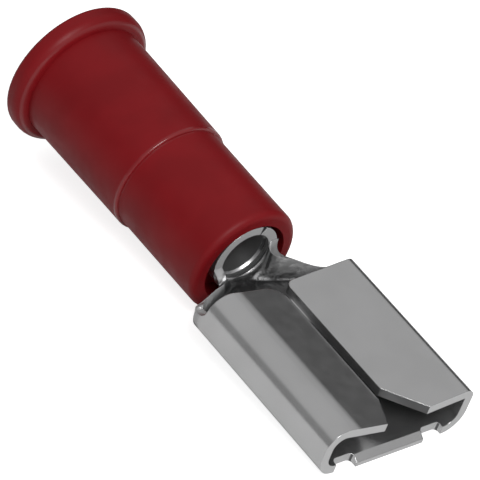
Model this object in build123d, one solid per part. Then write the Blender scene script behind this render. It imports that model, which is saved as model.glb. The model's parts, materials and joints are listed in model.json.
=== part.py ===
from build123d import *

import os
from math import asin, atan2, cos, degrees, hypot, radians, sin, tan

# Insulated female spade terminal for a 6.35 x 0.81 mm tab: a folded sheet-metal terminal whose
# barrel is held in a moulded sleeve. It is drawn with the sleeve's axis along Y, the sleeve's front
# end at Y = 0, the mouth towards -Y and the wire end towards +Y, and is then laid as it rests.

# Mating tab and the sheet that is folded round it
tab_width = 6.35
tab_thickness = 0.81
tab_side_play = 0.225
sheet = 0.40

# Receptacle
wing_length = 7.92
floor_drop = 1.06            # underside of the floor below the sleeve's axis
floor_bend_radius = 0.58     # inside radii of the folds
left_roll_radius = 0.50
right_roll_radius = 0.05
left_droop = 11.4            # slope of each wing down to the slot, in degrees
right_droop = 3.9
left_tip_play = 0.18         # room over the tab under each wing's tip
right_tip_play = 0.37
slot_width = 0.28            # gap between the two wings
left_lead_width = 0.62       # lead-in of each wing at the mouth
left_lead_length = 1.30
right_lead_width = 1.25
right_lead_length = 1.63
left_heel_radius = 0.80      # rounding of each wing's rear corner beside the slot
right_heel_radius = 0.35

# Hollow pressed into the floor's underside below the tab's hole: it lies one sheet inside a dome of this
# radius and height over the floor
detent_place = 4.20          # behind the wings' front edge
detent_radius = 0.75
detent_height = 0.22

# Tongue at the front edge of the floor, between two relief notches
tongue_width = 3.50
tongue_reach = 0.10
relief_width = 1.05
relief_depth = 0.32
relief_round = 0.20
bevel_length = 0.30          # coined lead-in on the tongue
bevel_depth = 0.20

# Barrel and neck
barrel_bore = 2.30
barrel_length = 5.20
barrel_rise = 0.30           # the barrel's axis above the sleeve's axis
rim_depth = 0.06             # the barrel's rim behind the sleeve's front end
seam_turn = 20.0             # angle of the butt seam from the top, in degrees
seam_outer_width = 0.26
seam_inner_width = 0.05
groove_count = 2             # wire-gripping grooves in the barrel
groove_pitch = 1.60
groove_width = 0.22
groove_depth = 0.07
groove_start = 0.30          # first groove behind the rim
shoulder_length = 0.56       # full-width stretch of the neck behind the wings
shoulder_fillet = 0.45
left_wall = 0.20             # upright walls of that stretch above the floor's bends
right_wall = 0.05
neck_length = 1.70
# Sections of the neck: place ahead of the rim, half width of the flat bottom, outside radius of the
# bends, then each wall's lean from the floor in degrees and its length past the bend, left and right
neck_stations = (
    (0.00, 0.15, 1.40, (80, 0.12), (90, 0.70)),
    (0.45, 0.50, 1.00, (45, 0.36), (80, 0.70)),
    (0.75, 1.15, 0.90, (45, 0.57), (65, 0.76)),
    (1.05, 1.80, 0.90, (52, 0.56), (58, 0.62)),
    (1.40, 2.45, 0.95, (72, 0.47), (72, 0.31)),
)

# Sleeve
sleeve_length = 12.43
front_radius = 2.575
front_draft = 0.025          # growth of the front part's radius from its end to the step
step_place = 5.19
step_height = 0.12
step_edge = 0.10
rear_draft = 0.095           # growth of the rear part's radius from the step to the flange
flange_radius = 3.335
flange_thickness = 0.95
flange_front_round = 0.50
flange_back_round = 0.16
front_round = 0.30
mouth_radius = 1.95          # recess round the barrel's rim
mouth_depth = 1.00
grip_clearance = 0.02
wire_radius = 2.05
funnel_length = 1.00         # cone that leads the conductor into the barrel
entry_radius = 2.55
entry_depth = 1.10

# Places worked out from the sizes above
half_width = tab_width / 2 + tab_side_play + sheet
half_slot = slot_width / 2
floor_under = -floor_drop
floor_top = floor_under + sheet
tab_top = floor_top + tab_thickness
floor_bend = floor_bend_radius + sheet
barrel_inner = barrel_bore / 2
barrel_outer = barrel_inner + sheet
rim = rim_depth
barrel_end = rim + barrel_length
neck_front = rim - neck_length
wing_rear = neck_front - shoulder_length
wing_front = wing_rear - wing_length
tongue_front = wing_front - tongue_reach
funnel_end = barrel_end + funnel_length
flange_front = sleeve_length - flange_thickness
step_radius = front_radius + front_draft
rear_radius = step_radius + step_height
margin = 2 * sheet           # how far cutting shapes run past the sheet


def at(y):
    """Plane across the part at the given Y, with local axes along X and Z, facing the mouth."""
    return Plane.XZ.offset(-y)


def receptacle_profile():
    """Cross-section of the receptacle: the floor, two walls and two rolled wings, one sheet thick."""
    left_slope = tan(radians(left_droop))
    right_slope = tan(radians(right_droop))
    folds = (left_roll_radius, floor_bend_radius, floor_bend_radius, right_roll_radius)

    def skin(depth):
        reach = half_width - sheet + depth
        low = floor_top - depth
        left_tip = tab_top + left_tip_play + depth / cos(radians(left_droop))
        right_tip = tab_top + right_tip_play + depth / cos(radians(right_droop))
        return FilletPolyline(
            (-half_slot, left_tip),
            (-reach, left_tip + (reach - half_slot) * left_slope),
            (-reach, low),
            (reach, low),
            (reach, right_tip + (reach - half_slot) * right_slope),
            (half_slot, right_tip),
            radius=[fold + depth for fold in folds],
        )

    inner = skin(0)
    outer = skin(sheet)
    tips = [Line(outer @ 0, inner @ 0), Line(outer @ 1, inner @ 1)]
    return make_face(outer.edges() + inner.edges() + tips)


def wing_cut(lead_width, lead_length, heel_radius):
    """Cutting shape, from above, for the right wing's lead-in and its rounded rear corner."""
    run_out = margin * lead_width / lead_length
    lead_in = make_face(Polyline(
        (0, wing_front - margin),
        (half_slot + lead_width + run_out, wing_front - margin),
        (half_slot, wing_front + lead_length),
        (0, wing_front + lead_length),
        close=True,
    ))
    heel = make_face(Polyline(
        (0, wing_rear + margin),
        (half_slot + heel_radius, wing_rear + margin),
        (half_slot + heel_radius, wing_rear - heel_radius),
        (0, wing_rear - heel_radius),
        close=True,
    ))
    heel -= Pos(half_slot + heel_radius, wing_rear - heel_radius) * Circle(heel_radius)
    level = Pos(0, 0, floor_top + tab_thickness / 2)
    return level * extrude(lead_in + heel, amount=half_width)


def front_cut():
    """Cutting shape that trims the mouth back to the wings and leaves the tongue and its notches."""
    mouth = Pos(0, wing_front)
    blank = mouth * Rectangle(2 * (half_width + margin), margin, align=(Align.CENTER, Align.MAX))
    tongue = mouth * Rectangle(tongue_width, 2 * margin)
    notch = mouth * RectangleRounded(relief_width, 2 * relief_depth, relief_round)
    notches = [Pos(side * (tongue_width + relief_width) / 2, 0) * notch for side in (-1, 1)]
    floor_cut = Pos(0, 0, floor_under) * extrude(blank - tongue + notches, amount=sheet)
    return floor_cut + Pos(0, 0, floor_top) * extrude(blank, amount=2 * half_width)


def tongue_bevel():
    """Cutting shape for the coined lead-in along the tongue's upper front edge."""
    slope = bevel_depth / bevel_length
    side = make_face(Polyline(
        (tongue_front - margin, floor_top - bevel_depth - margin * slope),
        (tongue_front + bevel_length, floor_top),
        (tongue_front - margin, floor_top + margin),
        close=True,
    ))
    return extrude(Plane.YZ * side, amount=tongue_width / 2, both=True)


def neck_section(bottom, flat, bend, left, right):
    """Cross-section of the neck, one sheet thick: a flat bottom, two bends and two leaning walls."""

    def half(side, lean, wall, depth):
        angle = radians(lean)
        curve = bend - depth
        low = bottom + depth
        knee = (side * (flat + curve * sin(angle / 2)), low + curve * (1 - cos(angle / 2)))
        end = (side * (flat + curve * sin(angle)), low + curve * (1 - cos(angle)))
        tip = (end[0] + side * wall * cos(angle), end[1] + wall * sin(angle))
        return tip, [Line(tip, end), ThreePointArc(end, knee, (side * flat, low))]

    edges = []
    tips = []
    for depth in (0, sheet):
        left_tip, left_edges = half(-1, *left, depth)
        right_tip, right_edges = half(1, *right, depth)
        floor = Line((-flat, bottom + depth), (flat, bottom + depth))
        edges += left_edges + right_edges + [floor]
        tips.append((left_tip, right_tip))
    caps = [Line(outer, inner) for outer, inner in zip(*tips)]
    return make_face(edges + caps)


def neck():
    """Sheet that opens from the barrel's lower half to the full width of the receptacle."""
    barrel_under = barrel_rise - barrel_outer
    shoulder = (neck_length, half_width - floor_bend, floor_bend, (90, left_wall), (90, right_wall))
    sections = []
    for ahead, flat, bend, left, right in (*neck_stations, shoulder):
        place = ahead / neck_length
        ease = place * place * (3 - 2 * place)
        bottom = barrel_under + (floor_under - barrel_under) * ease
        sections.append(at(rim - ahead) * neck_section(bottom, flat, bend, left, right))
    return loft(sections)


def shoulder_cut(side, wall):
    """Cutting shape, from the side, that ends one wing and leaves the low wall behind it."""
    height = floor_under + floor_bend + wall
    outline = FilletPolyline(
        (neck_front, half_width),
        (neck_front, height),
        (wing_rear, height),
        (wing_rear, half_width),
        radius=[0, shoulder_fillet],
    )
    closing = Line(outline @ 1, outline @ 0)
    return extrude(Plane.YZ * make_face(outline.edges() + [closing]), amount=side * (half_width + margin))


def barrel():
    """Rolled barrel with its butt seam and the grooves that grip the conductor."""
    ring = Circle(barrel_outer) - Circle(barrel_inner)
    seam = make_face(Polyline(
        (-seam_inner_width / 2, barrel_inner - margin),
        (seam_inner_width / 2, barrel_inner - margin),
        (seam_inner_width / 2, barrel_inner),
        (seam_outer_width / 2, barrel_outer),
        (seam_outer_width / 2, barrel_outer + margin),
        (-seam_outer_width / 2, barrel_outer + margin),
        (-seam_outer_width / 2, barrel_outer),
        (-seam_inner_width / 2, barrel_inner),
        close=True,
    ))
    section = Pos(0, barrel_rise) * (ring - Rot(0, 0, -seam_turn) * seam)
    tube = extrude(at(barrel_end) * section, amount=barrel_length)
    bore_top = barrel_rise + barrel_inner
    for index in range(groove_count):
        place = rim + groove_start + groove_pitch * index
        groove = make_face(Polyline(
            (place - groove_width / 2, bore_top),
            (place, bore_top + groove_depth),
            (place + groove_width / 2, bore_top),
            (place, bore_top - groove_depth),
            close=True,
        ))
        tube -= revolve(Plane.YZ * groove, axis=Axis((0, 0, barrel_rise), (0, 1, 0)))
    return tube


def terminal():
    """The whole folded sheet: barrel, neck and receptacle."""
    body = extrude(at(neck_front) * receptacle_profile(), amount=neck_front - tongue_front)
    body -= front_cut()
    body -= tongue_bevel()
    body -= mirror(wing_cut(left_lead_width, left_lead_length, left_heel_radius), about=Plane.YZ)
    body -= wing_cut(right_lead_width, right_lead_length, right_heel_radius)
    dome_radius = (detent_radius ** 2 + detent_height ** 2) / (2 * detent_height)
    dome_middle = Pos(0, wing_front + detent_place, floor_top + detent_height - dome_radius)
    body -= dome_middle * Sphere(dome_radius - sheet)
    body -= shoulder_cut(-1, left_wall)
    body -= shoulder_cut(1, right_wall)
    return body + neck() + barrel()


def insulating_sleeve():
    """Moulded sleeve: tapered outside with a step and a flange, and a stepped bore."""
    outline = FilletPolyline(
        (mouth_radius, 0),
        (front_radius, 0),
        (step_radius, step_place),
        (rear_radius, step_place),
        (rear_radius + rear_draft, flange_front),
        (flange_radius, flange_front),
        (flange_radius, sleeve_length),
        (entry_radius, sleeve_length),
        (wire_radius, sleeve_length - entry_depth),
        (wire_radius, funnel_end),
        (0, funnel_end),
        (0, mouth_depth),
        (mouth_radius, mouth_depth),
        close=True,
        radius=(0, front_round, 0, step_edge, 0, flange_front_round, flange_back_round,
                0, 0, 0, 0, 0, 0),
    )
    grip = at(barrel_end) * Pos(0, barrel_rise) * Circle(barrel_outer + grip_clearance)
    throat = at(barrel_end) * Pos(0, barrel_rise) * Circle(barrel_inner)
    body = revolve(make_face(outline), axis=Axis.Y)
    body -= extrude(grip, amount=barrel_end)
    return body - loft([throat, at(funnel_end) * Circle(wire_radius)])


def rest_tilt():
    """Angle at which the part lies on the tongue's lower edge and the rounding of the sleeve's front end."""
    run = front_round - tongue_front
    drop = front_radius - front_round - floor_drop
    return degrees(atan2(drop, run) + asin(front_round / hypot(run, drop)))


os.makedirs("parts", exist_ok=True)
tilt = Rot(rest_tilt(), 0, 0)
pieces = {"terminal": tilt * terminal(), "insulating_sleeve": tilt * insulating_sleeve()}
box = Compound(list(pieces.values())).bounding_box()
for name, piece in pieces.items():
    export_step(Pos(0, -box.center().Y, -box.min.Z) * piece, f"parts/{name}.step")
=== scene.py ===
"""Looks of an insulated female spade terminal: a tin-plated folded terminal in a red vinyl sleeve,
lying on a white table. The file is laid out as a Blender add-on and is run as a script."""

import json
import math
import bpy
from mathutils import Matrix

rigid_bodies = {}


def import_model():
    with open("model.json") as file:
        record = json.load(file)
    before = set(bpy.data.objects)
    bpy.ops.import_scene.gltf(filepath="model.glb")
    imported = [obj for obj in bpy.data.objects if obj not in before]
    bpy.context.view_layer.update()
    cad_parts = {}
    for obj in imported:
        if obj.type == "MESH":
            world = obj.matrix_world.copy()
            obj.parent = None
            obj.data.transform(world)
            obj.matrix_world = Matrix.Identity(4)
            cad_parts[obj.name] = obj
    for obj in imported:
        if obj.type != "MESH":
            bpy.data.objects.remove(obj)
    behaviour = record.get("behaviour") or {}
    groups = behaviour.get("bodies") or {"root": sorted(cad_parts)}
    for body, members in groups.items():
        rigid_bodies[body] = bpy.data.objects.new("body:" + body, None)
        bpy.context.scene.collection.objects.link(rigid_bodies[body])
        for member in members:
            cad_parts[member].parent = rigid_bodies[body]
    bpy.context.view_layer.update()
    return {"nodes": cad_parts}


bl_info = {
    "name": "Spade terminal looks",
    "version": (1, 0, 0),
    "blender": (4, 5, 0),
    "location": "View3D > Sidebar > Terminal",
    "description": "Finishes the tinned terminal and its vinyl sleeve and sets up a small white studio",
    "category": "3D View",
}

import bpy
import numpy as np
from mathutils import Matrix, Vector

for start_object in list(bpy.data.objects):
    bpy.data.objects.remove(start_object)

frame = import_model()

MM = 0.001
PER_MM = 1000.0

# Places of the finishes, in mm on axes tilted with the part: X across it, Y along it, Z square to both.
# A band is its middle along Y, half its width and the width of its fade.
LYING_TILT = math.radians(8.21)
NECK_BAND = (-1.90, 0.80, 0.30)
BORE_BAND = (1.60, 2.30, 0.10)
STEP_BAND = (4.325, 0.08, 0.06)
FLANGE_BAND = (10.67, 0.01, 0.06)
FLANK_PLACES = (-1.40, -1.00)        # X over which the neck's left flank ends
# painted shade: the bottom of the drawn neck is painted near black below these heights
HOLLOW_SHADE_HEIGHTS = (2.00, 2.40)        # Z over which the neck's hollow ends
CROWN_PLACES = (-3.10, -2.17)        # X at the start and the end of the left wing's crown

# Ways that faces look, and the cosines to them at which a mask starts and is full
FRONT = (0.0, -math.cos(LYING_TILT), -math.sin(LYING_TILT))
EDGE_COSINES = (0.86, 0.97)
FLANK_EXTRA = 0.26                   # added to the cosine on the neck's left flank
LEAD_CUT = (-0.79, -0.60, -0.09)     # the right wing's slanting lead-in cut
CUT_COSINES = (0.95, 0.98)

# Relief of the surfaces: strength and height of a bump
CROWN_RELIEF = (1.0, 0.093 * MM)
ROLLING_RELIEF = (0.5, 0.0012 * MM)
DENT_RELIEF = (0.6, 0.10 * MM)
SKIN_RELIEF = (0.5, 0.003 * MM)
BEVEL_SAMPLES = 6                    # rays that feel for a sharp edge

# Gloss of the surfaces, and how far roughness strays below and above its setting
PLATE_METAL = 0.93                   # share of mirror metal in the plating, the rest being matt
PLATE_STRAY = (-0.015, 0.02)
VINYL_STRAY = (-0.04, 0.06)
VINYL_SPECULAR = 0.18
COAT_ROUGHNESS = 0.1
COAT_IOR = 1.4

# Noise: the middle of its range that a mottle spreads over 0 to 1, and how much detail it has
NOISE_MIDDLE = (0.32, 0.68)
MOTTLE_DETAIL = 3.0
LINE_DETAIL = 2.0
GRAIN_DETAIL = 1.0

# Patterns of the surfaces: grain of a mottle and pitch of drawn lines in mm
DULL_GRAIN = 1.7
POLISH_GRAIN = 0.6
DENT_GRAIN = 0.8
FLOW_GRAIN = 2.4
SATIN_GRAIN = 0.8
ROLLING_LINES = {"Pitch": 0.07, "Stretch": 35.0, "Grain_share": 0.3}
SKIN_LINES = {"Pitch": 0.12, "Stretch": 4.0, "Grain_share": 0.7}

# Studio: the table's white and its lift for camera and mirror rays, the key lamp, and the room, whose
# places are parts of a unit direction
TABLE_WHITE = (0.66, 0.66, 0.66, 1)
CAMERA_LIFT = 0.80
MIRROR_LIFT = 0.10
TABLE_RINGS = 12
TABLE_SPOKES = 64
KEY_DIRECTION = (-0.28, -0.60, 0.74)
KEY_DISTANCE = 130 * MM
KEY_SIZE = 60 * MM
DOME_HEIGHTS = (0.47, 0.62)          # Z over which the room turns into the dome
DEPTH_PLACES = (-0.7, 0.2)           # Y from the front of the room to its back
DARK_CORNER = (0.87, 0.49, 0.0)
CORNER_COSINES = (0.25, 0.80)
CLIP_START = 10 * MM
CLIP_END = 2.0


class TinPlateSettings(bpy.types.PropertyGroup):
    """Finish of the tin-plated brass terminal."""

    light_grey: bpy.props.FloatVectorProperty(
        name="Light grey", description="Colour of the clean plating", subtype="COLOR",
        size=3, min=0, max=1, default=(0.54, 0.54, 0.543))
    dull_grey: bpy.props.FloatVectorProperty(
        name="Dull grey", description="Colour where the plating is handled and dull", subtype="COLOR",
        size=3, min=0, max=1, default=(0.515, 0.515, 0.517))
    roughness: bpy.props.FloatProperty(
        name="Roughness", description="Roughness of the plating in the middle of its range",
        subtype="FACTOR", min=0, max=1, default=0.22)
    # partly the duller drawn metal, partly painted shade: the drawn neck is painted darker where its trough
    # lies in shadow
    neck_dull_and_shade_grey: bpy.props.FloatVectorProperty(
        name="Neck grey", description="Colour of the drawn neck", subtype="COLOR",
        size=3, min=0, max=1, default=(0.40, 0.40, 0.402))
    # painted shade: near-black grey laid on the bottom of the drawn neck, where shadow falls
    hollow_shade_grey: bpy.props.FloatVectorProperty(
        name="Hollow grey", description="Colour at the bottom of the drawn neck", subtype="COLOR",
        size=3, min=0, max=1, default=(0.10, 0.10, 0.101))
    neck_roughness: bpy.props.FloatProperty(
        name="Neck roughness", description="Roughness of the drawn neck and the lead-in cut",
        subtype="FACTOR", min=0, max=1, default=0.42)
    edge_grey: bpy.props.FloatVectorProperty(
        name="Edge grey", description="Colour of the sheared ends of the sheet", subtype="COLOR",
        size=3, min=0, max=1, default=(0.56, 0.56, 0.562))
    edge_break: bpy.props.FloatProperty(
        name="Edge break", description="Radius of the sheet's softened edges", unit="LENGTH",
        subtype="DISTANCE", min=0, max=0.2 * MM, precision=5, default=0.05 * MM)
    edge_roughness: bpy.props.FloatProperty(
        name="Edge roughness", description="Roughness of the sheared ends of the sheet",
        subtype="FACTOR", min=0, max=1, default=0.70)
    edge_metal: bpy.props.FloatProperty(
        name="Edge metal", description="Share of mirror metal on the sheared ends, the rest being matt",
        subtype="FACTOR", min=0, max=1, default=0.50)
    # painted shade: the lead-in cut is painted near black because of the way it faces the light
    lead_cut_shade_grey: bpy.props.FloatVectorProperty(
        name="Lead-in grey", description="Colour of the slanting lead-in cut", subtype="COLOR",
        size=3, min=0, max=1, default=(0.13, 0.13, 0.131))
    bore_grey: bpy.props.FloatVectorProperty(
        name="Bore grey", description="Colour of the barrel's bore", subtype="COLOR",
        size=3, min=0, max=1, default=(0.50, 0.50, 0.502))
    bore_roughness: bpy.props.FloatProperty(
        name="Bore roughness", description="Roughness of the barrel's bore",
        subtype="FACTOR", min=0, max=1, default=0.34)


class VinylSettings(bpy.types.PropertyGroup):
    """Finish of the moulded sleeve."""

    red: bpy.props.FloatVectorProperty(
        name="Red", description="Colour of the vinyl", subtype="COLOR",
        size=3, min=0, max=1, default=(0.195, 0.0050, 0.0078))
    deep_red: bpy.props.FloatVectorProperty(
        name="Deep red", description="Colour of the vinyl's darker flow marks", subtype="COLOR",
        size=3, min=0, max=1, default=(0.168, 0.0040, 0.0064))
    roughness: bpy.props.FloatProperty(
        name="Roughness", description="Roughness of the vinyl in the middle of its range",
        subtype="FACTOR", min=0, max=1, default=0.43)


class StudioSettings(bpy.types.PropertyGroup):
    """Camera, table and light."""

    azimuth: bpy.props.FloatProperty(
        name="Azimuth", description="Turn of the camera round the part", subtype="ANGLE",
        default=math.radians(-46.335))
    elevation: bpy.props.FloatProperty(
        name="Elevation", description="Height of the camera above the table", subtype="ANGLE",
        default=math.radians(33.904))
    roll: bpy.props.FloatProperty(
        name="Roll", description="Turn of the picture", subtype="ANGLE", default=math.radians(13.501))
    distance: bpy.props.FloatProperty(
        name="Distance", description="From the camera to the middle of the picture", unit="LENGTH",
        subtype="DISTANCE", default=141.19 * MM)
    lens: bpy.props.FloatProperty(
        name="Lens", description="Focal length of the camera", unit="CAMERA", default=262.57)
    target: bpy.props.FloatVectorProperty(
        name="Target", description="Point in the middle of the picture", unit="LENGTH",
        subtype="TRANSLATION", size=3, default=(0.3565 * MM, -0.4071 * MM, 2.9654 * MM))
    table_radius: bpy.props.FloatProperty(
        name="Table radius", description="Radius of the white table", unit="LENGTH",
        subtype="DISTANCE", default=350 * MM)
    dome_level: bpy.props.FloatProperty(
        name="Dome level", description="Brightness of the soft light overhead", min=0, default=0.70)
    front_level: bpy.props.FloatProperty(
        name="Front level", description="Brightness of the room low in front", min=0, default=0.62)
    back_level: bpy.props.FloatProperty(
        name="Back level", description="Brightness of the room low behind", min=0, default=0.36)
    corner_level: bpy.props.FloatProperty(
        name="Corner level", description="Brightness of the dark corner behind on the right", min=0,
        default=0.04)
    key_power: bpy.props.FloatProperty(
        name="Key power", description="Power of the soft lamp in front", unit="POWER", min=0, default=0.10)


def add_node(tree, kind, place, **values):
    """Node of the given kind at the place, with its plain values set."""
    node = tree.nodes.new(kind)
    node.location = place
    for name, value in values.items():
        setattr(node, name, value)
    return node


def feed(tree, socket, source):
    """Links a socket to its source, or sets it where the source is a plain value."""
    if isinstance(source, bpy.types.NodeSocket):
        tree.links.new(source, socket)
    else:
        socket.default_value = source


def feed_all(tree, node, **sources):
    """Feeds a node's named sockets; a name's underscores stand for spaces."""
    for name, source in sources.items():
        feed(tree, node.inputs[name.replace("_", " ")], source)


def math_node(tree, place, operation, *sources):
    """Result of one operation on up to three values."""
    node = add_node(tree, "ShaderNodeMath", place, operation=operation)
    for socket, source in zip(node.inputs, sources):
        feed(tree, socket, source)
    return node.outputs[0]


def vector_node(tree, place, operation, first, second):
    """Node of one operation on two vectors."""
    node = add_node(tree, "ShaderNodeVectorMath", place, operation=operation)
    feed(tree, node.inputs[0], first)
    feed(tree, node.inputs[1], second)
    return node


def axis_of(tree, place, vector, axis):
    """One of a vector's three coordinates."""
    parts = add_node(tree, "ShaderNodeSeparateXYZ", place)
    tree.links.new(vector, parts.inputs["Vector"])
    return parts.outputs[axis]


def level_between(tree, place, value, ends, levels=(0.0, 1.0), interpolation="SMOOTHSTEP"):
    """Level that goes from the first to the second while the value goes from end to end."""
    node = add_node(tree, "ShaderNodeMapRange", place, interpolation_type=interpolation)
    feed_all(tree, node, Value=value, From_Min=ends[0], From_Max=ends[1],
             To_Min=levels[0], To_Max=levels[1])
    return node.outputs["Result"]


def mixed(tree, place, kind, factor, first, second):
    """Mix of two numbers or colours: first + factor * (second - first)."""
    node = add_node(tree, "ShaderNodeMix", place, data_type=kind)
    feed_all(tree, node, Factor=factor, A=first, B=second)
    return node.outputs["Result"]


def noise_node(tree, place, vector, scale, detail):
    """Noise from 0 to 1 read at the vector times the scale."""
    node = add_node(tree, "ShaderNodeTexNoise", place)
    feed_all(tree, node, Vector=vector, Scale=scale, Detail=detail)
    return node.outputs["Fac"]


def bumped(tree, place, height, relief, normal=None):
    """Normal of a surface raised by a pattern from 0 to 1; the relief is the bump's strength and height."""
    node = add_node(tree, "ShaderNodeBump", place)
    feed_all(tree, node, Height=height, Strength=relief[0], Distance=relief[1])
    if normal is not None:
        tree.links.new(normal, node.inputs["Normal"])
    return node.outputs["Normal"]


def new_group(name, inputs, outputs):
    """Empty shader node group with named sockets; returns the tree and its two end nodes."""
    tree = bpy.data.node_groups.new(name, "ShaderNodeTree")
    for socket, kind, value in inputs:
        made = tree.interface.new_socket(name=socket, in_out="INPUT", socket_type=kind)
        if value is not None:
            made.default_value = value
    for socket, kind in outputs:
        tree.interface.new_socket(name=socket, in_out="OUTPUT", socket_type=kind)
    start = add_node(tree, "NodeGroupInput", (-900, 0))
    end = add_node(tree, "NodeGroupOutput", (700, 0))
    return tree, start, end


def mottle_group():
    """Slow variation over the surface: low + (high - low) * noise, with the noise's grain in mm."""
    tree, start, end = new_group(
        "Mottle",
        [("Place", "NodeSocketVector", None), ("Grain", "NodeSocketFloat", 1.0),
         ("Low", "NodeSocketFloat", 0.0), ("High", "NodeSocketFloat", 1.0)],
        [("Value", "NodeSocketFloat"), ("Mask", "NodeSocketFloat")])
    given = start.outputs
    per_grain = math_node(tree, (-680, -120), "DIVIDE", 1.0, given["Grain"])
    noise = noise_node(tree, (-460, 0), given["Place"], per_grain, MOTTLE_DETAIL)
    mask = level_between(tree, (-220, 0), noise, NOISE_MIDDLE)
    value = level_between(tree, (60, 0), mask, (0.0, 1.0), (given["Low"], given["High"]), "LINEAR")
    feed_all(tree, end, Value=value, Mask=mask)
    return tree


def drawn_lines_group():
    """Fine lines along the part: noise read on coordinates squeezed along Y by the stretch, mixed with
    even grain. The pitch is in mm."""
    tree, start, end = new_group(
        "Drawn lines",
        [("Place", "NodeSocketVector", None), ("Pitch", "NodeSocketFloat", 0.06),
         ("Stretch", "NodeSocketFloat", 30.0), ("Grain share", "NodeSocketFloat", 0.25)],
        [("Height", "NodeSocketFloat")])
    given = start.outputs
    per_pitch = math_node(tree, (-700, -160), "DIVIDE", 1.0, given["Pitch"])
    squeeze = math_node(tree, (-700, -320), "DIVIDE", 1.0, given["Stretch"])
    shape = add_node(tree, "ShaderNodeCombineXYZ", (-520, -240))
    feed_all(tree, shape, X=1.0, Y=squeeze, Z=1.0)
    squeezed = vector_node(tree, (-340, 0), "MULTIPLY", given["Place"], shape.outputs[0])
    lines = noise_node(tree, (-140, 120), squeezed.outputs[0], per_pitch, LINE_DETAIL)
    grain = noise_node(tree, (-140, -160), given["Place"], per_pitch, GRAIN_DETAIL)
    feed_all(tree, end, Height=mixed(tree, (120, 0), "FLOAT", given["Grain share"], lines, grain))
    return tree


def place_group(tree, place, name, make, vector, **values):
    """Group node fed with the coordinates and its own values; the group is made when first asked for."""
    group = bpy.data.node_groups.get(name) or make()
    node = add_node(tree, "ShaderNodeGroup", place, node_tree=group)
    feed_all(tree, node, Place=vector, **values)
    return node.outputs


def mottle(tree, place, vector, **values):
    """Outputs of a mottle with its own values."""
    return place_group(tree, place, "Mottle", mottle_group, vector, **values)


def drawn_lines(tree, place, vector, **values):
    """Outputs of drawn lines with their own values."""
    return place_group(tree, place, "Drawn lines", drawn_lines_group, vector, **values)


def empty_material(name, output_place):
    """Material with nothing but its output: the material, its tree and the output's socket."""
    material = bpy.data.materials.new(name)
    material.use_nodes = True
    tree = material.node_tree
    tree.nodes.clear()
    output = add_node(tree, "ShaderNodeOutputMaterial", output_place)
    return material, tree, output.inputs["Surface"]


def surface_material(name):
    """Material of a piece: its tree, Principled shader and coordinates in mm on axes tilted with it."""
    material, tree, surface = empty_material(name, (900, 0))
    shader = add_node(tree, "ShaderNodeBsdfPrincipled", (600, 0))
    tree.links.new(shader.outputs["BSDF"], surface)
    coordinates = add_node(tree, "ShaderNodeTexCoord", (-900, 0))
    tilted = add_node(tree, "ShaderNodeMapping", (-700, 0))
    feed_all(tree, tilted, Vector=coordinates.outputs["Object"], Rotation=(-LYING_TILT, 0, 0),
             Scale=(PER_MM, PER_MM, PER_MM))
    return material, tree, shader, tilted.outputs["Vector"]


def cosine_to(tree, place, direction):
    """Cosine between the surface's normal and a direction."""
    left, top = place
    coordinates = add_node(tree, "ShaderNodeTexCoord", place)
    facing = vector_node(tree, (left + 200, top), "DOT_PRODUCT", coordinates.outputs["Normal"], direction)
    return facing.outputs["Value"]


def sheared_edges(tree, place, vector, neck):
    """Mask of the sheet's sheared edges, which look along the part. On the neck's left, where the sheet
    turns out, faces that look along it less squarely belong to them too."""
    left, top = place
    squareness = math_node(tree, (left + 400, top), "ABSOLUTE", cosine_to(tree, place, FRONT))
    across = axis_of(tree, (left, top + 200), vector, "X")
    flank = level_between(tree, (left + 200, top + 200), across, FLANK_PLACES, (FLANK_EXTRA, 0.0))
    widened = math_node(tree, (left + 600, top), "MULTIPLY_ADD", neck, flank, squareness)
    return level_between(tree, (left + 800, top), widened, EDGE_COSINES)


def lead_cut_shade_mask(tree, place):
    """Mask of the painted shade on the right wing's lead-in cut: the flat faces that look its way, which
    are painted dark.
    """
    left, top = place
    return level_between(tree, (left + 400, top), cosine_to(tree, place, LEAD_CUT), CUT_COSINES)


def hollow_shade_mask(tree, place, vector, neck):
    """Mask of the painted shade at the neck's bottom: low places within the neck, where shadow falls, are
    painted darker.
    """
    left, top = place
    height = axis_of(tree, place, vector, "Z")
    low = level_between(tree, (left + 200, top), height, HOLLOW_SHADE_HEIGHTS, (1.0, 0.0))
    return math_node(tree, (left + 400, top), "MULTIPLY", low, neck)


def band_mask(tree, place, vector, middle, half, fade):
    """Mask of a band across the part: 1 within half of the middle, in mm along the part, then fading."""
    left, top = place
    offset = math_node(tree, (left + 200, top), "SUBTRACT", axis_of(tree, place, vector, "Y"), middle)
    apart = math_node(tree, (left + 400, top), "ABSOLUTE", offset)
    return level_between(tree, (left + 600, top), apart, (half, half + fade), (1.0, 0.0))


def tin_relief(tree, vector, neck, edge_break):
    """Normal of the plating: softened edges, then the left wing's crown, which rises smoothly past the
    end of its roll, fine rolling lines, and dents within the drawn neck."""
    softened = add_node(tree, "ShaderNodeBevel", (-100, -380), samples=BEVEL_SAMPLES)
    softened.inputs["Radius"].default_value = edge_break
    across = axis_of(tree, (-500, -760), vector, "X")
    crown = level_between(tree, (-300, -760), across, CROWN_PLACES)
    rolled = drawn_lines(tree, (-400, -260), vector, **ROLLING_LINES)
    pressed = mottle(tree, (-400, -520), vector, Grain=DENT_GRAIN)
    dents = math_node(tree, (-100, -520), "MULTIPLY", neck, pressed["Value"])
    normal = softened.outputs["Normal"]
    for column, (height, relief) in enumerate((
        (crown, CROWN_RELIEF),
        (rolled["Height"], ROLLING_RELIEF),
        (dents, DENT_RELIEF),
    )):
        normal = bumped(tree, (100 + 160 * column, -380), height, relief, normal)
    return normal


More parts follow.
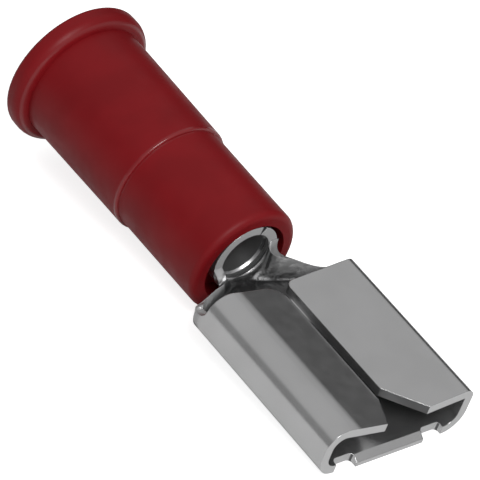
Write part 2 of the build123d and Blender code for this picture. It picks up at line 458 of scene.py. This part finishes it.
def tin_plate_material(settings):
    """Satin tin plating: grey metal, duller where handled and in the drawn neck, whose darker grey there is
    partly painted shade, with painted shade at the neck's bottom and on the right wing's lead-in cut;
    rougher and lighter on its sheared ends, with fine rolling lines along the sheet."""
    material, tree, shader, vector = surface_material("tin_plate")
    dull = mottle(tree, (-400, 260), vector, Grain=DULL_GRAIN)
    shade = mixed(tree, (100, 260), "RGBA", dull["Mask"],
                  (*settings.light_grey, 1), (*settings.dull_grey, 1))
    low, high = (settings.roughness + stray for stray in PLATE_STRAY)
    polish = mottle(tree, (-400, 0), vector, Grain=POLISH_GRAIN, Low=low, High=high)["Value"]
    neck = band_mask(tree, (-900, 560), vector, *NECK_BAND)
    bore = band_mask(tree, (-900, 760), vector, *BORE_BAND)
    edges = sheared_edges(tree, (-900, 1000), vector, neck)
    hollow_shade = hollow_shade_mask(tree, (-900, 1440), vector, neck)
    lead_cut_shade = lead_cut_shade_mask(tree, (-900, 1640))
    for column, (mask, grey, roughness) in enumerate((
        (bore, settings.bore_grey, settings.bore_roughness),
        # the drawn neck: duller metal and painted shade
        (neck, settings.neck_dull_and_shade_grey, settings.neck_roughness),
        (edges, settings.edge_grey, settings.edge_roughness),
        # painted shade at the bottom of the drawn neck
        (hollow_shade, settings.hollow_shade_grey, settings.neck_roughness),
        # painted shade on the faces of the lead-in cut
        (lead_cut_shade, settings.lead_cut_shade_grey, settings.neck_roughness),
    )):
        left = 200 + 140 * column
        shade = mixed(tree, (left, 260), "RGBA", mask, shade, (*grey, 1))
        polish = mixed(tree, (left, 0), "FLOAT", mask, polish, roughness)
    metal = level_between(tree, (400, 520), edges, (0.0, 1.0), (PLATE_METAL, settings.edge_metal), "LINEAR")
    normal = tin_relief(tree, vector, neck, settings.edge_break)
    feed_all(tree, shader, Base_Color=shade, Roughness=polish, Metallic=metal, Normal=normal)
    return material


def vinyl_material(settings):
    """Moulded red vinyl: satin, with slight flow marks along the sleeve, a fine skin and glossy edges
    at the step and the flange."""
    material, tree, shader, vector = surface_material("red_vinyl_moulded")
    flow = mottle(tree, (-400, 260), vector, Grain=FLOW_GRAIN)
    shade = mixed(tree, (100, 260), "RGBA", flow["Mask"], (*settings.red, 1), (*settings.deep_red, 1))
    low, high = (settings.roughness + stray for stray in VINYL_STRAY)
    rough = mottle(tree, (-400, 0), vector, Grain=SATIN_GRAIN, Low=low, High=high)
    skin = drawn_lines(tree, (-400, -260), vector, **SKIN_LINES)
    normal = bumped(tree, (100, -260), skin["Height"], SKIN_RELIEF)
    step = band_mask(tree, (-700, -520), vector, *STEP_BAND)
    flange = band_mask(tree, (-700, -720), vector, *FLANGE_BAND)
    glossy = math_node(tree, (300, -520), "MAXIMUM", step, flange)
    feed_all(tree, shader, Base_Color=shade, Roughness=rough["Value"], Normal=normal,
             Specular_IOR_Level=VINYL_SPECULAR, Coat_Weight=glossy,
             Coat_Roughness=COAT_ROUGHNESS, Coat_IOR=COAT_IOR)
    return material


def table_material():
    """White table that keeps the part's soft shadow: a diffuse white with a lift for the camera's own
    rays, and a smaller lift for mirror rays, so that metal shows a white table too."""
    material, tree, surface = empty_material("white_table", (600, 0))
    paint = add_node(tree, "ShaderNodeBsdfDiffuse", (150, 120))
    paint.inputs["Color"].default_value = TABLE_WHITE
    rays = add_node(tree, "ShaderNodeLightPath", (-650, -120)).outputs
    seen = math_node(tree, (-350, -40), "MULTIPLY", rays["Is Camera Ray"], CAMERA_LIFT)
    mirrored = math_node(tree, (-350, -220), "MAXIMUM", rays["Is Glossy Ray"], rays["Is Transmission Ray"])
    strength = math_node(tree, (-150, -220), "MULTIPLY_ADD", mirrored, MIRROR_LIFT, seen)
    lift = add_node(tree, "ShaderNodeEmission", (150, -120))
    feed_all(tree, lift, Strength=strength)
    both = add_node(tree, "ShaderNodeAddShader", (400, 0))
    tree.links.new(paint.outputs[0], both.inputs[0])
    tree.links.new(lift.outputs[0], both.inputs[1])
    tree.links.new(both.outputs[0], surface)
    return material


def table_surface(radius, rings, spokes):
    """Flat disc as a grid of two parameters: x = r cos a, y = r sin a, z = 0, with the ring radius
    growing as the square of its place so that the middle is finer. Returns vertices and faces."""
    place = np.linspace(0, 1, rings + 1)[1:] ** 2
    angle = np.linspace(0, 2 * math.pi, spokes, endpoint=False)
    x = radius * np.outer(place, np.cos(angle))
    y = radius * np.outer(place, np.sin(angle))
    grid = np.stack((x, y, np.zeros_like(x)), axis=-1).reshape(-1, 3)
    vertices = np.vstack(([[0, 0, 0]], grid))
    spoke = np.arange(spokes)
    after = (spoke + 1) % spokes
    middle = np.stack((np.zeros_like(spoke), 1 + spoke, 1 + after), axis=-1)
    ring = spokes * np.arange(rings - 1)[:, None] + 1
    quads = np.stack((ring + spoke, ring + spokes + spoke, ring + spokes + after, ring + after), axis=-1)
    return vertices, middle.tolist() + quads.reshape(-1, 4).tolist()


def new_object(name, vertices, faces, material):
    """Mesh object at the origin with one material."""
    mesh = bpy.data.meshes.new(name)
    mesh.from_pydata(vertices, [], faces)
    mesh.materials.append(material)
    made = bpy.data.objects.new(name, mesh)
    bpy.context.scene.collection.objects.link(made)
    return made


def finish_node(node, material):
    """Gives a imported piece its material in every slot."""
    piece = frame["nodes"].get(node)
    if piece is None:
        raise RuntimeError(f"the packed model has no piece named {node}")
    for slot in piece.material_slots:
        slot.material = material


def soft_lamp(name, direction, distance, size, power):
    """Square area lamp that faces the part from the given direction."""
    lamp = bpy.data.lights.new(name, "AREA")
    lamp.shape = "SQUARE"
    lamp.size = size
    lamp.energy = power
    made = bpy.data.objects.new(name, lamp)
    made.location = Vector(direction).normalized() * distance
    made.rotation_euler = Vector(direction).to_track_quat("Z", "Y").to_euler()
    bpy.context.scene.collection.objects.link(made)


def room_light(settings):
    """World light: lighter in front and dark in one corner near the horizon, rising smoothly to the soft
    dome overhead, and white for the camera."""
    world = bpy.data.worlds.new("soft_room")
    bpy.context.scene.world = world
    world.use_nodes = True
    tree = world.node_tree
    tree.nodes.clear()
    output = add_node(tree, "ShaderNodeOutputWorld", (700, 0))
    background = add_node(tree, "ShaderNodeBackground", (500, 0))
    direction = add_node(tree, "ShaderNodeTexCoord", (-700, 0)).outputs["Generated"]
    depth = level_between(tree, (-300, 560), axis_of(tree, (-500, 560), direction, "Y"), DEPTH_PLACES,
                          (settings.front_level, settings.back_level))
    toward = vector_node(tree, (-500, 260), "DOT_PRODUCT", direction, DARK_CORNER)
    low_room = level_between(tree, (-100, 260), toward.outputs["Value"], CORNER_COSINES,
                             (depth, settings.corner_level))
    room = level_between(tree, (100, 0), axis_of(tree, (-500, 0), direction, "Z"), DOME_HEIGHTS,
                         (low_room, settings.dome_level))
    rays = add_node(tree, "ShaderNodeLightPath", (100, -320)).outputs
    feed_all(tree, background, Strength=math_node(tree, (300, 0), "MAXIMUM", room, rays["Is Camera Ray"]))
    tree.links.new(background.outputs[0], output.inputs["Surface"])


def aim_camera(settings):
    """Camera at an azimuth, elevation and distance from the target, rolled about its own axis."""
    turn, rise = settings.azimuth, settings.elevation
    back = Vector((math.sin(turn) * math.cos(rise), -math.cos(turn) * math.cos(rise), math.sin(rise)))
    data = bpy.data.cameras.new("camera")
    data.lens = settings.lens
    data.clip_start = CLIP_START
    data.clip_end = CLIP_END
    camera = bpy.data.objects.new("camera", data)
    upright = (-back).to_track_quat("-Z", "Y").to_matrix().to_4x4()
    place = Matrix.Translation(Vector(settings.target) + back * settings.distance)
    camera.matrix_world = place @ upright @ Matrix.Rotation(settings.roll, 4, "Z")
    bpy.context.scene.collection.objects.link(camera)
    bpy.context.scene.camera = camera


class TERMINAL_OT_finish_terminal(bpy.types.Operator):
    """Give the folded terminal its tin plating"""

    bl_idname = "terminal.finish_terminal"
    bl_label = "Finish terminal"

    def execute(self, context):
        finish_node("terminal", tin_plate_material(context.scene.tin_plate))
        return {"FINISHED"}


class TERMINAL_OT_finish_sleeve(bpy.types.Operator):
    """Give the sleeve its red vinyl"""

    bl_idname = "terminal.finish_sleeve"
    bl_label = "Finish sleeve"

    def execute(self, context):
        finish_node("insulating_sleeve", vinyl_material(context.scene.vinyl))
        return {"FINISHED"}


class TERMINAL_OT_set_studio(bpy.types.Operator):
    """Lay the white table, hang the lamp, light the room and aim the camera"""

    bl_idname = "terminal.set_studio"
    bl_label = "Set studio"

    def execute(self, context):
        settings = context.scene.studio
        disc = table_surface(settings.table_radius, TABLE_RINGS, TABLE_SPOKES)
        table = new_object("table", *disc, table_material())
        soft_lamp("key_lamp", KEY_DIRECTION, KEY_DISTANCE, KEY_SIZE, settings.key_power)
        room_light(settings)
        aim_camera(settings)
        context.scene.view_settings.view_transform = "Standard"
        return {"FINISHED"}


class TERMINAL_PT_looks(bpy.types.Panel):
    """Finishes of the terminal and the studio"""

    bl_label = "Spade terminal"
    bl_idname = "TERMINAL_PT_looks"
    bl_space_type = "VIEW_3D"
    bl_region_type = "UI"
    bl_category = "Terminal"

    def draw(self, context):
        scene = context.scene
        for settings, operator in (
            (scene.tin_plate, TERMINAL_OT_finish_terminal),
            (scene.vinyl, TERMINAL_OT_finish_sleeve),
            (scene.studio, TERMINAL_OT_set_studio),
        ):
            box = self.layout.box()
            for name in settings.__annotations__:
                box.prop(settings, name)
            box.operator(operator.bl_idname)


CLASSES = (
    TinPlateSettings,
    VinylSettings,
    StudioSettings,
    TERMINAL_OT_finish_terminal,
    TERMINAL_OT_finish_sleeve,
    TERMINAL_OT_set_studio,
    TERMINAL_PT_looks,
)


def register():
    """Registers the classes and hangs the settings on the scene."""
    for cls in CLASSES:
        bpy.utils.register_class(cls)
    bpy.types.Scene.tin_plate = bpy.props.PointerProperty(type=TinPlateSettings)
    bpy.types.Scene.vinyl = bpy.props.PointerProperty(type=VinylSettings)
    bpy.types.Scene.studio = bpy.props.PointerProperty(type=StudioSettings)


def unregister():
    """Takes the settings off the scene and the classes out again."""
    del bpy.types.Scene.studio
    del bpy.types.Scene.vinyl
    del bpy.types.Scene.tin_plate
    for cls in reversed(CLASSES):
        bpy.utils.unregister_class(cls)


def main():
    """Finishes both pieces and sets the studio."""
    register()
    bpy.ops.terminal.finish_terminal()
    bpy.ops.terminal.finish_sleeve()
    bpy.ops.terminal.set_studio()


if __name__ == "__main__":
    main()
